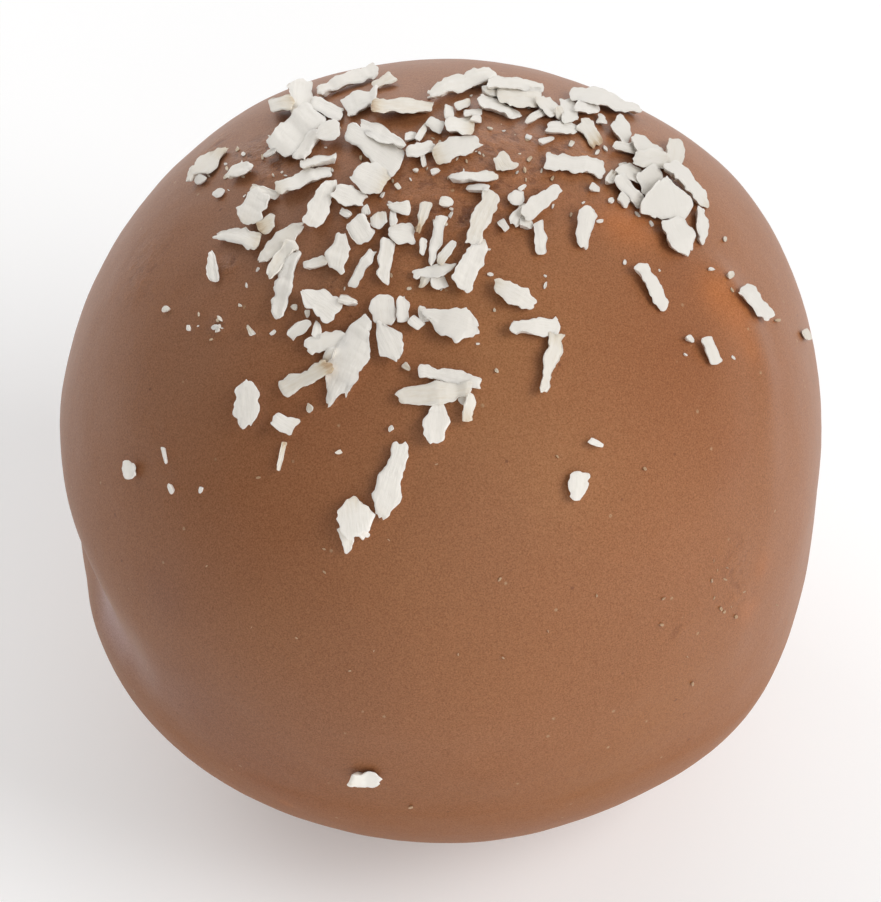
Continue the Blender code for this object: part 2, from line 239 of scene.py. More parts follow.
# Each flake that shows, in millimetres as it is seen, the lower ones of a pile first:
# across and up of its two ends, then its widths at even steps from one end to the other.
FLAKES = (
    # Upper left
    (-5.1, 12.3, -5.05, 13.5, .7, .9, .95),
    (-5.2, 10.6, -4.4, 11.6, .55, .5, .4),
    (-6.0, 10.85, -4.5, 12.4, .9, 1.1, .95),
    (-6.35, 10.7, -6.0, 10.95, .15, .25, .2),
    (-4.7, 12.65, -3.6, 12.25, .5, .5, .45),
    (-6.15, 12.5, -5.35, 12.7, .45, .45, .4),
    (-4.45, 13.0, -2.3, 13.95, .35, .45, .5),
    (-4.4, 11.35, -3.7, 11.75, .6, .6, .6),
    (-5.1, 10.4, -3.75, 10.65, .35, .35, .25),
    (-7.82, 9.95, -6.85, 10.42, .12, .4, .45, .25),
    (-9.2, 9.9, -7.85, 11.0, .08, .5, .6, .2),
    (-8.2, 9.25, -7.9, 9.5, .12, .25, .15),
    (-8.85, 9.72, -8.58, 9.98, .12, .25, .15),
    (-6.8, 9.35, -6.25, 9.0, .45, .4, .35),
    (-6.85, 9.5, -5.9, 9.25, .25, .35, .35),
    (-5.95, 9.5, -3.95, 10.22, .5, .5, .35),
    (-6.55, 9.5, -7.0, 8.25, .7, .85, .85, .6),
    # Top
    (-2.5, 12.55, -.3, 12.52, .45, .45, .35),
    (-3.55, 12.45, -2.25, 12.95, .8, .75, .6),
    (-2.4, 13.25, -1.7, 13.65, .3, .4, .4),
    (-3.35, 11.72, -1.42, 10.35, .6, .85, .9),
    (-2.9, 11.9, -1.35, 11.1, .3, .5, .45, .25),
    (-1.2, 10.8, -.25, 11.1, .3, .4, .45),
    (-.2, 10.75, 1.4, 11.3, .75, .7, .45),
    (-.65, 10.8, -.6, 10.35, .15, .2, .15),
    (-.45, 12.0, .1, 11.7, .35, .4, .35),
    (-.85, 11.3, -.5, 11.85, .2, .2, .15),
    (-1.3, 11.35, -.9, 11.5, .2, .25, .2),
    (.3, 12.55, .3, 12.0, .3, .3, .25),
    (.2, 11.8, 1.2, 11.85, .6, .6, .6),
    (.55, 12.5, 1.05, 12.7, .25, .3, .25),
    (.85, 12.3, 1.5, 12.3, .2, .25, .2),
    (-.4, 13.03, 2.0, 13.77, .35, .7, .7),
    (.33, 9.88, 2.05, 10.02, .15, .35, .4, .3),
    (-3.12, 10.1, -1.97, 9.66, .75, 1.05, .7),
    (-3.85, 9.44, -2.75, 9.05, .6, .8, .5),
    (-3.65, 8.75, -3.3, 8.5, .3, .35, .3),
    (-3.95, 9.78, -4.72, 8.15, .3, .6, .8, .65),
    # Upper right
    (1.7, 13.4, 3.7, 13.2, .3, .35, .3),
    (1.5, 13.1, 2.15, 12.9, .2, .28, .25),
    (1.1, 12.1, 1.45, 12.0, .2, .22, .2),
    (2.1, 12.95, 3.6, 12.85, .6, .65, .6),
    (1.35, 12.75, 2.9, 12.18, .45, .42, .25),
    (3.9, 12.45, 3.15, 11.95, .5, .35, .15),
    (3.55, 12.85, 4.2, 12.2, .5, .5, .5),
    (4.55, 12.8, 4.75, 11.95, .45, .5, .5),
    (4.22, 12.42, 4.4, 12.05, .25, .3, .25),
    (4.9, 12.6, 5.75, 12.4, .5, .45, .3),
    (4.8, 13.1, 7.25, 12.45, .35, .55, .45, .15),
    (5.75, 12.15, 6.0, 11.95, .45, .4, .3),
    (3.85, 11.7, 4.95, 11.7, .3, .45, .5),
    (5.08, 11.97, 5.75, 11.15, .55, .6, .5),
    (3.82, 10.52, 5.98, 10.25, .45, .5, .55),
    (2.07, 10.75, 2.5, 10.15, .45, .6, .65),
    (3.6, 11.2, 4.1, 11.4, .25, .3, .25),
    (6.38, 12.1, 6.78, 11.2, .5, .68, .45),
    # Right cluster
    (6.3, 11.1, 7.45, 10.92, .25, .4, .45),
    (6.95, 11.42, 8.1, 10.32, .25, .55, .75, .6),
    (7.05, 10.6, 8.3, 10.5, .4, .65, .5),
    (8.5, 11.35, 8.5, 10.3, .6, .8, .65, .5),
    (6.35, 10.15, 6.05, 9.7, .3, .3, .3),
    (6.45, 9.25, 6.8, 8.95, .3, .35, .35),
    (6.42, 9.95, 7.3, 8.88, .4, .5, .4),
    (6.42, 10.3, 7.65, 9.85, .4, .55, .5),
    (8.45, 8.45, 8.95, 7.15, 1.0, 1.0, .95, .5),
    (9.45, 8.85, 9.5, 7.5, .3, .42, .4, .2),
    (8.3, 10.45, 9.7, 8.95, .6, .5, .45, .35),
    (7.4, 10.25, 7.9, 9.3, .7, .9, .8),
    (8.08, 9.9, 8.35, 8.4, .4, 1.15, 1.75, 2.0, 1.6),
    (5.4, 9.6, 5.75, 9.5, .25, .25, .2),
    # Middle left
    (-6.6, 8.1, -6.0, 8.3, .45, .5, .55),
    (-8.2, 7.95, -6.5, 7.6, .2, .5, .65, .7),
    (-8.3, 7.2, -8.25, 6.12, .12, .38, .3),
    (-5.3, 7.55, -6.3, 6.35, .5, .45, .25),
    (-5.0, 8.22, -6.6, 6.87, .3, .7, .65, .35),
    (-5.3, 7.28, -5.98, 4.83, .4, .5, .6, .65, .45),
    (-4.95, 6.65, -4.15, 6.95, .3, .35, .35),
    (-3.55, 7.85, -3.85, 6.55, .3, .7, .85, .7),
    (-5.0, 5.85, -3.75, 4.93, .5, .9, 1.0),
    (-4.85, 5.1, -4.8, 4.85, .25, .25, .2),
    (-4.8, 4.7, -5.4, 4.15, .35, .4, .35),
    (-4.45, 4.65, -4.5, 4.1, .15, .25, .3),
    (-7.0, 4.5, -6.8, 4.2, .15, .2, .25),
    # Middle
    (-3.2, 8.4, -2.65, 7.6, .7, .85, .8),
    (-2.75, 8.85, -2.7, 8.55, .2, .25, .25),
    (-2.25, 8.6, -2.25, 8.1, .5, .5, .4),
    (-1.75, 8.7, -1.7, 8.2, .25, .3, .3),
    (-1.85, 7.95, -.95, 7.85, .65, .8, .85),
    (-1.9, 8.9, -1.15, 8.75, .1, .35, .45),
    (-1.9, 7.7, -2.12, 6.12, .5, .48, .33),
    (-.5, 9.0, -.85, 7.95, .4, .35, .15),
    (-.02, 9.03, .42, 9.03, .4, .4, .3),
    (.05, 8.5, -.35, 6.8, .4, .4, .25),
    (.45, 7.55, -.1, 6.8, .25, .35, .3),
    (-.63, 7.65, -.65, 7.12, .3, .3, .2),
    (1.85, 9.35, 1.1, 7.5, .7, .7, .5),
    (1.47, 7.7, .72, 5.88, .5, .8, 1.0),
    (-.5, 6.3, -.75, 5.92, .3, .25, .15),
    (-.05, 6.35, -.05, 5.9, .45, .55, .6),
    (-1.0, 6.4, .5, 6.62, .25, .45, .3),
    (-2.45, 7.25, -3.25, 5.95, .35, .4, .3),
    (-2.13, 5.62, -2.07, 4.6, .8, .8, .68),
    (-1.4, 5.65, -1.35, 4.7, .25, .45, .5),
    (-1.1, 4.85, -.75, 4.5, .35, .45, .45),
    (-.78, 5.2, -.5, 4.75, .25, .4, .35),
    (-2.2, 4.65, -1.55, 3.3, .3, .65, .95, .85, .35),
    (-.62, 4.95, 1.37, 4.33, .3, .75, 1.0, 1.15, .6),
    (-3.7, 5.5, -3.0, 5.33, .4, .35, .2),
    (.95, 9.55, 1.75, 9.5, .2, .25, .25),
    # Middle right
    (2.18, 8.4, 2.42, 8.0, .25, .25, .2),
    (3.1, 8.9, 2.6, 8.3, .45, .5, .4),
    (3.1, 9.65, 2.85, 9.45, .15, .2, .2),
    (2.75, 9.4, 2.75, 8.95, .5, .5, .5),
    (4.3, 9.5, 2.95, 8.55, .35, .5, .6),
    (3.5, 8.3, 3.7, 7.1, .4, .4, .33),
    (2.85, 8.28, 3.35, 8.15, .3, .32, .25),
    (5.3, 8.8, 5.1, 7.4, .6, .6, .45),
    (2.0, 6.05, 3.4, 5.25, .45, .8, .75, .3),
    (2.5, 4.45, 4.3, 4.47, .4, .6, .68),
    (4.25, 4.3, 3.7, 2.15, .6, .5, .45),
    # Far right
    (7.22, 6.78, 8.18, 5.22, .52, .5, .48),
    (10.95, 5.93, 12.02, 4.85, .45, .5, .42),
    (8.95, 4.2, 9.18, 3.98, .25, .28, .2),
    (9.6, 4.15, 9.98, 3.2, .35, .4, .4),
    (10.5, 6.5, 10.55, 6.3, .25, .25, .2),
    (13.2, 4.4, 13.4, 4.05, .2, .2, .15),
    # Lower
    (-3.4, 4.08, -4.85, 3.8, .6, .65, .55),
    (-4.0, 3.15, -5.75, 2.15, .45, .6, .7),
    (-3.25, 2.5, -3.47, 2.0, .25, .2, .12),
    (-2.65, 4.85, -4.1, 1.72, .35, .85, 1.3, 1.15, .8, .35),
    (-3.85, 3.75, -4.15, 3.3, .3, .35, .3),
    (-6.95, 2.5, -7.05, .85, .35, .8, .9, .85, .4),
    (-6.05, 1.2, -5.3, .78, .35, .65, .75),
    (-5.67, .3, -5.9, -.7, .17, .14, .1),
    (-1.55, 1.97, 1.1, 2.2, .5, .8, .5),
    (-.78, 2.9, 1.45, 2.45, .42, .5, .5),
    (1.1, 2.05, .95, 1.05, .2, .4, .45),
    (-.07, 1.8, -.22, .3, .45, .9, .75),
    (-1.42, .28, -2.2, -2.38, .58, .6, .8, 1.0, .5),
    (-3.4, -2.7, -3.37, -3.68, .6, .45, .25),
    (-2.95, -2.6, -2.73, -3.12, .45, .45, .3),
    (-3.2, -1.7, -3.05, -3.1, .6, 1.35, .9),
    (5.4, .4, 5.88, .17, .25, .28, .2),
    (5.05, -.75, 4.98, -1.8, .7, .6, .3),
    (-11.2, -.38, -11.35, -1.05, .45, .45, .25),
    (-10.08, .12, -9.97, -.45, .13, .14, .1),
    (-9.85, -1.22, -9.72, -1.53, .15, .22, .2),
    (-3.3, -11.85, -2.2, -11.95, .6, .5, .35),
)

# Crumbs of coconut: across, up and size in millimetres as they are seen.
CRUMBS = (
    (-.9, 10.2, .2), (-.2, 10.15, .3), (-1.55, 9.6, .2), (-2.1, 9.3, .2), (1.8, 11.7, .2),
    (3.2, 11.4, .2), (3.25, 10.6, .2), (3.05, 10.2, .15), (4.75, 11.15, .2), (5.7, 10.85, .2),
    (6.0, 11.0, .2), (6.65, 10.4, .3), (-6.65, 6.6, .15), (-7.05, 6.02, .15), (-8.02, 4.8, .2),
    (-8.2, 4.5, .2), (-8.1, 4.4, .2), (-6.1, 4.3, .2), (-5.3, 5.2, .25), (-9.14, 4.47, .2),
    (.38, 8.57, .2), (1.8, 6.4, .2), (3.8, 6.0, .2), (5.8, 8.35, .2), (10.6, 5.85, .15),
    (9.85, 6.6, .2), (10.35, 7.7, .15), (12.25, 4.75, .15), (8.9, 3.5, .12), (10.65, 3.4, .12),
    (6.7, 6.85, .15), (7.15, 8.6, .2), (7.65, 8.25, .2), (6.2, 9.1, .2), (-8.7, -1.42, .22),
    (-4.73, 1.55, .34), (-3.7, -.03, .18), (-1.8, .82, .2), (-1.25, 3.05, .32), (.8, 1.85, .3),
    (2.03, 2.9, .14), (-9.95, 5.15, .26),
)

# Dust of coconut round the flakes and tan specks lower down: how much, the middle and the
# reach of each field, and whether it is tan.
DUST = (
    (60, (0.5, 9.3), (4.0, 2.4), False),
    (34, (-7.4, 10.4), (1.0, 0.8), False),
    (26, (2.6, 11.0), (1.8, 0.7), False),
    (9, (-8.1, 4.5), (0.3, 0.25), False),
    (12, (10.2, -5.2), (0.9, 1.0), True),
    (28, (1.0, -4.0), (7.0, 5.0), True),
)
DUST_SIZES = (0.05, 0.13)
DUST_LIMIT = 0.95 * BALL_RADIUS
CRUMB_WIDTHS = (0.6, 0.95)
CRUMB_ENDS = (0.35, 1.0)

# The coconut is painted lighter towards the left, lower down and on the undersides: painted fill
# light where less light falls. How light it is at the middle of the view, how much lighter with each
# metre leftwards and downwards, and on the undersides.
MIDDLE_PAINTED_FILL = 1.07
PAINTED_FILL_LEFTWARD = 0.0184 / MM
PAINTED_FILL_DOWNWARD = 0.0089 / MM
UNDERSIDE_PAINTED_FILL = 1.2

# Flakes on the far side: how many, how far apart, how far down from the top, how crowded
# there, how far they face away, and their sizes.
FAR_FLAKES = 8
FAR_SPACING = 2.6 * MM
FAR_REACH = math.radians(80)
FAR_CROWDING = 0.7
FAR_FACING = -0.22
FAR_LENGTHS = (0.8 * MM, 2.2 * MM)
FAR_WIDTHS = (0.45 * MM, 0.8 * MM)
FAR_END_SHARE = 0.8

# Fine unevenness of the chocolate: how many waves to the radius, where in the noise, height.
RELIEF = (
    (3.1, (4.0, 1.0, 7.0), 0.07 * MM),
    (8.0, (1.0, 9.0, 2.0), 0.025 * MM),
    (28.0, (0.0, 0.0, 0.0), 0.006 * MM),
)

# The chocolate shines less low down: two heights over the floor with the shine at each, and
# how much the dust and sheen spots and the crease sheen add to it.
DULL_HEIGHT = 8 * MM
BRIGHT_HEIGHT = 12.5 * MM
DULL_SHINE = 0.06
BRIGHT_SHINE = 0.4
PALE_SHINE = 0.5

# The white tent round the stage: where each glow lies, how tight it is and how bright.
TENT_GLOWS = (
    ((0, 1, 0.15), 8, 2.24),
    ((0.15, -1, 0.15), 8, 1.39),
    ((1, 0, 0.15), 8, 0.54),
    ((0, 0, 1), 5, 0.22),
)

# Soft lights: where each stands, in metres, and its power in watts.
SOFT_LIGHTS = {
    "key": ((0.35, -0.14, 0.31), 1.45),
    "left_fill": ((-0.30, 0.24, 0.26), 0.58),
}
LIGHT_SIZE = 0.30
FLOOR_SIZE = 4.0
FLOOR_GLOW = 0.27

RIGHT = np.array((1.0, 0.0, 0.0))
TOWARD_VIEWER = np.array((0.0, -math.cos(VIEW_HEIGHT), math.sin(VIEW_HEIGHT)))
UP = np.cross(TOWARD_VIEWER, RIGHT)
MIDDLE_HEIGHT = math.sqrt(BALL_RADIUS ** 2 - FOOT_RADIUS ** 2)
MIDDLE = np.array((0.0, 0.0, MIDDLE_HEIGHT))


def unit(vectors):
    """The vectors at length 1."""
    return vectors / np.linalg.norm(vectors, axis=-1, keepdims=True)


def seen_direction(turn, tilt):
    """Unit direction from the ball's middle, given round the outline and towards the viewer."""
    turn = math.radians(turn)
    tilt = math.radians(tilt)
    outward = RIGHT * math.cos(turn) + UP * math.sin(turn)
    return outward * math.cos(tilt) + TOWARD_VIEWER * math.sin(tilt)


def bump(distance, spread):
    """Smooth bump of height 1, for distances between unit directions and a spread in degrees."""
    return np.exp(-(distance / math.radians(spread)) ** 2)


def fold_size(directions, fold, spread):
    """Size of a crease or ridge in each direction, given by turn, tilt and size along it."""
    largest = np.zeros(directions.shape[:-1])
    for start, end in zip(fold, fold[1:]):
        near = seen_direction(start[0], start[1])
        run = seen_direction(end[0], end[1]) - near
        share = np.clip((directions - near) @ run / (run @ run), 0, 1)
        distance = np.linalg.norm(directions - near - share[..., None] * run, axis=-1)
        size = start[2] + (end[2] - start[2]) * share
        largest = np.maximum(largest, size * bump(distance, spread))
    return largest


def ball_radius(directions):
    """Distance from the ball's middle to the chocolate's surface in each unit direction."""
    radius = BALL_RADIUS - fold_size(directions, CREASE, CREASE_SPREAD)
    radius = radius + fold_size(directions, RIDGE, RIDGE_SPREAD)
    for turn, tilt, spread, height in SWELLS:
        distance = np.linalg.norm(directions - seen_direction(turn, tilt), axis=-1)
        radius = radius + height * bump(distance, spread)
    return radius


def sight_lines(places):
    """Directions from the view point to seen places, given across and up."""
    places = np.asarray(places, float)
    return unit(places[..., :1] * RIGHT + places[..., 1:2] * UP - TOWARD_VIEWER * VIEW_DISTANCE)


def seen_point(place, height):
    """The point at a height above the chocolate that is seen at a place, from the ball's middle."""
    eye = TOWARD_VIEWER * VIEW_DISTANCE
    sight = sight_lines(place)
    nearest = -eye @ sight
    miss_squared = eye @ eye - nearest ** 2
    radius = BALL_RADIUS
    for _ in range(SIGHT_STEPS):
        depth = math.sqrt(max((radius + height) ** 2 - miss_squared, 0))
        point = eye + sight * (nearest - depth)
        radius = ball_radius(unit(point))
    return point


def seen_on_plane(places, origin, normal):
    """The points of a plane that are seen at places."""
    eye = TOWARD_VIEWER * VIEW_DISTANCE
    sights = sight_lines(places)
    reach = (origin - eye) @ normal / (sights @ normal)
    return eye + sights * reach[..., None]


def leaning_normal(normal):
    """A flake near the outline leans, so that it keeps facing the viewer a little."""
    facing = normal @ TOWARD_VIEWER
    if facing >= LEAST_FACING:
        return normal
    outward = unit(normal - TOWARD_VIEWER * facing)
    return TOWARD_VIEWER * LEAST_FACING + outward * math.sqrt(1 - LEAST_FACING ** 2)


# Geometry of the coconut

def uneven(draw, positions, spacing, height):
    """Uneven values at positions along a line, with angular breaks about a spacing apart."""
    knots = np.arange(positions.min() - spacing, positions.max() + 2 * spacing, spacing)
    shifted = knots + np.array([draw.uniform(-BREAK_SHIFT, BREAK_SHIFT) for _ in knots]) * spacing
    values = np.array([draw.uniform(-height, height) for _ in knots])
    return np.interp(positions, shifted, values)


class Flake:
    """A flake as it is seen: two ends, widths from one to the other, and how far each is lifted."""

    def __init__(self, start, end, widths):
        self.start = np.array(start, float)
        self.end = np.array(end, float)
        self.widths = widths
        self.thickness = min(FLAKE_THICKNESS, max(widths) * THICKEST_FOR_WIDTH)
        self.length = float(np.linalg.norm(self.end - self.start))
        self.along = (self.end - self.start) / self.length
        self.side = np.array((-self.along[1], self.along[0]))
        self.lifts = (0.0, 0.0)
        self.painted_fill = 1.0
        self.tan = False

    def width(self, shares):
        """Widths at shares of the length."""
        return np.interp(shares, np.linspace(0, 1, len(self.widths)), self.widths)

    def top_over(self, place):
        """Height of the flake's top over the ball at a seen place, 0 where it isn't there."""
        share = (place - self.start) @ self.along / self.length
        off = abs((place - self.start) @ self.side)
        if share < 0 or share > 1 or off > self.width(share) / 2:
            return 0
        return self.lifts[0] + (self.lifts[1] - self.lifts[0]) * share + self.thickness

    def lie_on(self, earlier, draw):
        """Lift each end onto the earlier flakes that it lies over, and perch one end a little."""
        needed = []
        for share in LIFT_SHARES:
            place = self.start + (self.end - self.start) * share
            needed.append(max([flake.top_over(place) for flake in earlier], default=0))
        middle = len(LIFT_SHARES) // 2
        first = min(max(needed[:middle + 1]), HIGHEST_LIFT)
        last = min(max(needed[middle:]), HIGHEST_LIFT)
        perch = draw.uniform(*PERCH_SHARES) * min(TALLEST_PERCH, self.length * STEEPEST_PERCH)
        starts_left = self.start[0] < self.end[0]
        raise_start = starts_left == (draw.random() < LEFT_PERCH_SHARE)
        self.lifts = (first + perch, last) if raise_start else (first, last + perch)

    def places(self, draw):
        """Places over the flake's face in rows along it, with a broken, uneven edge."""
        rows = max(FEWEST_ROWS, math.ceil(self.length / FLAKE_CELL))
        crowded = (1 - np.cos(np.linspace(0, math.pi, rows))) / 2
        shares = crowded * ROW_CROWDING + np.linspace(0, 1, rows) * (1 - ROW_CROWDING)
        run = shares * self.length
        widest = max(self.widths)
        ragged = min(RAGGED_MOST, widest * RAGGED_FOR_WIDTH)
        end_gap = np.minimum(run, self.length - run) / (NARROWING_REACH * widest)
        fullness = END_FULLNESS + FULLNESS_GAIN * np.clip(end_gap, 0, 1) ** 0.5
        half = self.width(shares) / 2 * fullness
        edges = []
        for sign in (-1, 1):
            rough = sum(uneven(draw, run, spacing, ragged * share) for spacing, share in SIDE_BREAKS)
            edges.append(sign * half + rough)
        ends = []
        for sign in (-1, 1):
            slant = draw.uniform(-END_SLANT, END_SLANT)
            rough = uneven(draw, ACROSS_STEPS * widest / 2, END_BREAK, ragged) + sign * END_REACH
            rounding = -sign * END_ROUNDING * widest * ACROSS_STEPS ** 2
            ends.append(slant * ACROSS_STEPS * widest / 2 + rough + rounding)
        near_start = np.clip(1 - run / (END_SHARE * self.length), 0, 1)[:, None]
        near_end = np.clip(1 - (self.length - run) / (END_SHARE * self.length), 0, 1)[:, None]
        along = run[:, None] + ends[0] * near_start + ends[1] * near_end
        middle = (edges[0] + edges[1])[:, None] / 2
        off = middle + ACROSS_STEPS * (edges[1] - edges[0])[:, None] / 2
        return along, off, shares

    def flat(self, along, off):
        """Seen places for distances along and off the flake's middle line."""
        return self.start + along[..., None] * self.along + off[..., None] * self.side


def flake_heights(flake, shares, draw):
    """Heights of a flake's top over its middle plane, for rows at shares of the length."""
    run = shares * flake.length
    tip_gap = np.minimum(run, flake.length - run) / TIP_REACH
    rim = 1 - EDGE_DROP * np.clip((np.abs(ACROSS_STEPS) - RIM_START) / (1 - RIM_START), 0, 1) ** 2
    tip = 1 - EDGE_DROP * np.clip(1 - tip_gap, 0, 1) ** 2
    wedge = draw.uniform(-WEDGE, WEDGE) * ACROSS_STEPS
    taper = draw.uniform(-TAPER, TAPER) * (2 * shares - 1)
    swells = uneven(draw, run, SWELL_SPACING, SWELL_HEIGHT)
    fibres = np.array([draw.uniform(-FIBRE_HEIGHT, FIBRE_HEIGHT) for _ in ACROSS_STEPS])
    ripple = [[draw.uniform(-RIPPLE_HEIGHT, RIPPLE_HEIGHT) for _ in ACROSS_STEPS] for _ in shares]
    thickness = flake.thickness * draw.uniform(*THICKNESS_SHARES)
    lengthwise = (taper + swells)[:, None]
    fullness = np.minimum.outer(tip, rim) + wedge + lengthwise + fibres + np.array(ripple)
    return thickness * (fullness - 0.5)


def flake_surface(flake, origin, normal, to_points, draw):
    """Top and bottom points of a flake, as two grids, with how far along it and off it they lie."""
    along, off, shares = flake.places(draw)
    middle = to_points(flake.flat(along, off))
    spread = np.linalg.norm(middle - origin, axis=-1)
    droop = spread ** 2 / (2 * BALL_RADIUS) * DROOP_SHARE
    top_points = middle + normal * (flake_heights(flake, shares, draw) - droop)[..., None]
    widest = max(flake.widths)
    inset = min(UNDERCUT, UNDERCUT_SHARE * widest)
    low_along = flake.length / 2 + (along - flake.length / 2) * (1 - 2 * inset / flake.length)
    low = to_points(flake.flat(low_along, off * (1 - 2 * inset / widest)))
    bottom_points = low - normal * (flake.thickness / 2 + FLAKE_SINK + droop)[..., None]
    return top_points, bottom_points, along, off


def flake_tones(flake, along, draw):
    """Tone over a flake: the lowest for tan specks, and up to 1 where the coconut is white."""
    if flake.tan:
        return np.full(along.shape, TAN_TONE)
    if flake.length < DUST_LENGTH:
        tone = draw.uniform(*DUST_TONES)
    elif draw.random() < DULL_SHARE:
        tone = draw.uniform(*DULL_TONES)
    else:
        tone = draw.uniform(*WHITE_TONES)
    tones = np.full(along.shape, tone)
    if draw.random() < BEIGE_SHARE:
        from_end = along if draw.random() < 0.5 else flake.length - along
        tones = tones - draw.uniform(*BEIGE_LOSS) * np.clip(1 - from_end / BEIGE_REACH, 0, 1)
    return np.clip(tones, 0, 1)


class Heap:
    """Many small closed pieces gathered into one mesh."""

    def __init__(self):
        self.points = []
        self.faces = []
        self.tones = []
        self.painted_fill = []
        self.grain = []
        self.count = 0

    def add_slab(self, flake, origin, normal, to_points, draw):
        """A flake as a closed slab between two grids of points."""
        top, bottom, along, off = flake_surface(flake, origin, normal, to_points, draw)
        rows, columns = top.shape[:2]
        grid = np.arange(rows * columns).reshape(rows, columns)
        low = grid + rows * columns
        quads = [
            (grid[:-1, :-1], grid[1:, :-1], grid[1:, 1:], grid[:-1, 1:]),
            (low[:-1, :-1], low[:-1, 1:], low[1:, 1:], low[1:, :-1]),
        ]
        faces = [np.stack([corner.ravel() for corner in quad], axis=1) for quad in quads]
        border = np.concatenate((grid[0, :-1], grid[:-1, -1], grid[-1, :0:-1], grid[:0:-1, 0]))
        onward = np.roll(border, -1)
        below = rows * columns
        faces.append(np.stack((border, onward, onward + below, border + below), axis=1))
        self.faces.append(np.concatenate(faces) + self.count)
        self.points.append(top.reshape(-1, 3))
        self.points.append(bottom.reshape(-1, 3))
        shift = draw.uniform(0, GRAIN_SHIFT)
        place = np.stack((along.ravel() + shift, off.ravel() + shift), axis=1)
        self.grain.append(np.concatenate((place, place)))
        tones = flake_tones(flake, along, draw).ravel()
        self.tones.append(np.concatenate((tones, tones)))
        # Painted fill light: the top takes the lightening for the flake's place, the underside a
        # stronger one.
        for painted_fill in (flake.painted_fill, UNDERSIDE_PAINTED_FILL):
            self.painted_fill.append(np.full(rows * columns, painted_fill))
        self.count += rows * columns * 2

    def build(self, name):
        """The gathered pieces as one object of the scene."""
        points = np.concatenate(self.points) + MIDDLE
        faces = np.concatenate(self.faces)
        mesh = bpy.data.meshes.new(name)
        mesh.from_pydata(points.tolist(), [], faces.tolist())
        for layer_name, values in (("tone", self.tones), ("painted_fill", self.painted_fill)):
            layer = mesh.attributes.new(layer_name, "FLOAT", "POINT")
            layer.data.foreach_set("value", np.concatenate(values).astype(np.float32))
        grain = np.concatenate(self.grain)
        corners = np.array([loop.vertex_index for loop in mesh.loops])
        grain_map = mesh.uv_layers.new(name="grain")
        grain_map.data.foreach_set("uv", (grain[corners] / MM).astype(np.float32).ravel())
        mesh.validate()
        mesh.shade_smooth()
        mesh.set_sharp_from_angle(angle=SHARPEST_BEND)
        piece = bpy.data.objects.new(name, mesh)
        bpy.context.scene.collection.objects.link(piece)
        return piece


def seen_painted_fill(place):
    """How much lighter the coconut is painted at a seen place, as painted fill light."""
    return MIDDLE_PAINTED_FILL - PAINTED_FILL_LEFTWARD * place[0] - PAINTED_FILL_DOWNWARD * place[1]


def add_seen_flake(heap, flake, draw):
    """A flake of the shown side, seen where the list says, its left or lower side raised."""
    lean = draw.uniform(*LEANS)
    height = (flake.thickness + sum(flake.lifts) + lean * max(flake.widths)) / 2
    origin = seen_point((flake.start + flake.end) / 2, height)
    normal = leaning_normal(unit(origin))
    first = seen_on_plane(flake.start, origin, normal)
    last = seen_on_plane(flake.end, origin, normal)
    slope = (flake.lifts[1] - flake.lifts[0]) / np.linalg.norm(last - first)
    ahead = unit(last - first)
    aside = np.cross(normal, ahead)
    if aside @ (RIGHT + UP * RAISED_SIDE_UP) < 0:
        aside = -aside
    normal = unit(normal - ahead * slope + aside * lean)

    def to_points(places):
        return seen_on_plane(places, origin, normal)

    heap.add_slab(flake, origin, normal, to_points, draw)


def far_placings():
    """Direction, spin, length and width of each flake of the far side, thinning out downwards."""
    draw = random.Random(SEED)
    placings = []
    while len(placings) < FAR_FLAKES:
        down = FAR_REACH * draw.random() ** FAR_CROWDING
        turn = draw.uniform(0, math.pi)
        level = math.sin(down)
        direction = np.array((level * math.cos(turn), level * math.sin(turn), math.cos(down)))
        gaps = [np.linalg.norm(direction - other[0]) * BALL_RADIUS for other in placings]
        if direction @ TOWARD_VIEWER < FAR_FACING and min(gaps, default=FAR_SPACING) >= FAR_SPACING:
            spin = draw.uniform(0, math.tau)
            placings.append((direction, spin, draw.uniform(*FAR_LENGTHS), draw.uniform(*FAR_WIDTHS)))
    return placings


def add_far_flake(heap, direction, spin, length, width, draw):
    """A flake of the far side, flat on the chocolate."""
    level = unit(np.cross(direction, RIGHT))
    ahead = level * math.cos(spin) + np.cross(direction, level) * math.sin(spin)
    aside = np.cross(direction, ahead)
    end_width = width * FAR_END_SHARE
    flake = Flake((-length / 2, 0), (length / 2, 0), (end_width, width, end_width))
    origin = direction * (ball_radius(direction) + flake.thickness / 2)

    def to_points(places):
        return origin + places[..., :1] * ahead + places[..., 1:2] * aside

    heap.add_slab(flake, origin, direction, to_points, draw)


def build_flakes():
    """All flakes as one piece, the seen ones in the order of the list."""
    draw = random.Random(SEED)
    heap = Heap()
    laid = []
    for row in FLAKES:
        across0, up0, across1, up1, *widths = (value * MM for value in row)
        flake = Flake((across0, up0), (across1, up1), widths)
        flake.lie_on(laid, draw)
        # Painted fill light, more towards the left and lower down.
        flake.painted_fill = seen_painted_fill((flake.start + flake.end) / 2)
        laid.append(flake)
        add_seen_flake(heap, flake, draw)
    for placing in far_placings():
        add_far_flake(heap, *placing, draw)
    return heap.build("coconut_flakes")


def add_crumb(heap, across, up, size, draw, tan=False):
    """A crumb of the shown side, from millimetres as it is seen."""
    spin = draw.uniform(0, math.tau)
    place = np.array((across, up)) * MM
    reach = np.array((math.cos(spin), math.sin(spin))) * size * MM / 2
    width = size * MM * draw.uniform(*CRUMB_WIDTHS)
    ends = (width * draw.uniform(*CRUMB_ENDS), width * draw.uniform(*CRUMB_ENDS))
    flake = Flake(place - reach, place + reach, (ends[0], width, ends[1]))
    flake.painted_fill = seen_painted_fill(place)
    flake.tan = tan
    origin = seen_point(place, flake.thickness / 2)
    normal = leaning_normal(unit(origin))

    def to_points(places):
        return seen_on_plane(places, origin, normal)

    heap.add_slab(flake, origin, normal, to_points, draw)


